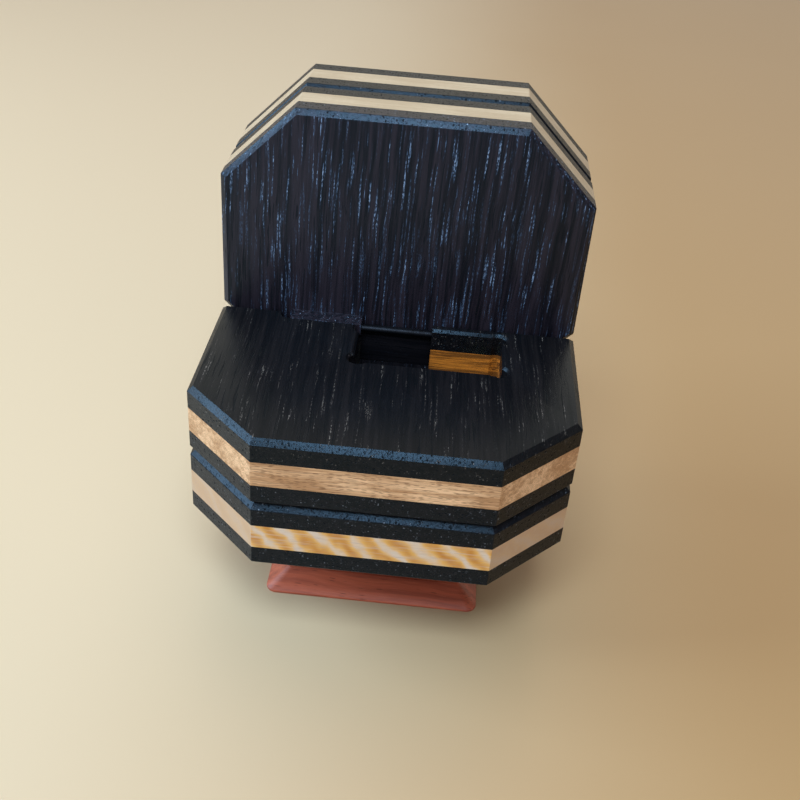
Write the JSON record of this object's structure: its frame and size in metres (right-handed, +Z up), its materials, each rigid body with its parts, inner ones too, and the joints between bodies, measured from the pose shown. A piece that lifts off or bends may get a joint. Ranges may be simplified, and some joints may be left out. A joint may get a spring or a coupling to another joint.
{
  "type": "wooden puzzle box",
  "caption": "Half-octagon wooden puzzle box of laminated dark and pale plies: hinged lid standing open, rimmed pocket, hidden rear tray, neck and bevelled foot.",
  "frame": {"origin": "on the table under the middle of the box's bounding box, with the lid standing open at a right angle", "axes": "+Z up; -Y towards the front, where the pocket is seen over the cut corners; +X to the right along the hinge"},
  "size_m": [0.09, 0.093, 0.1124],
  "materials": {
    "wenge": "oiled dark wenge with open pores, satin",
    "pale_ply": "oiled pale fruitwood, satin",
    "flecked_ply": "oiled flecked light brown wood, satin",
    "golden_ply": "oiled figured golden wood, satin",
    "padauk": "oiled red-brown hardwood, satin",
    "dowel": "plain planed beech",
    "brass": "turned, lightly polished",
    "steel": "drawn steel rod, blued",
    "magnet": "nickel plated",
    "lining": "short-napped baize"
  },
  "bodies": {
    "box": {"foot_plate": "padauk", "neck_block": "padauk", "foot_screws": "brass", "body_bottom_ply": "wenge", "tray_guide_ply": "golden_ply", "body_divider_ply": "wenge", "pocket_floor_ply": "wenge", "pocket_wall_ply": "flecked_ply", "body_top_ply": "wenge", "gap_cover": "wenge", "body_dowels": "dowel", "hinge_pin": "steel", "pin_plugs": "wenge", "tray_stop_pin": "steel"},
    "lid": {"lid_face_ply": "wenge", "lid_front_core": "pale_ply", "lid_front_back_ply": "wenge", "lid_rear_face_ply": "wenge", "lid_rear_core": "pale_ply", "lid_back_ply": "wenge", "lid_dowels": "dowel", "lid_magnets": "magnet"},
    "tray": {"secret_tray": "golden_ply", "tray_lining": "lining"},
    "lock": {"lock_plate": "dowel", "lock_button": "brass", "lock_peg": "brass"},
    "magnet_slider": {"magnet_carrier": "dowel", "carrier_magnets": "magnet"}
  },
  "joints": [
    {"name": "lid_hinge", "type": "hinge", "parent": "box", "child": "lid", "pos_m": [0, 0.00805, 0.0579], "axis": [1, 0, 0], "range_deg": [0, 90]},
    {"name": "tray_slide", "type": "slide", "parent": "box", "child": "tray", "axis": [0, 1, 0], "range_m": [0, 0.024]},
    {"name": "lock_slide", "type": "slide", "parent": "box", "child": "lock", "axis": [-1, 0, 0], "range_m": [0, 0.007]},
    {"name": "magnet_slide", "type": "slide", "parent": "box", "child": "magnet_slider", "axis": [1, 0, 0], "range_m": [0, 0.01]}
  ]
}
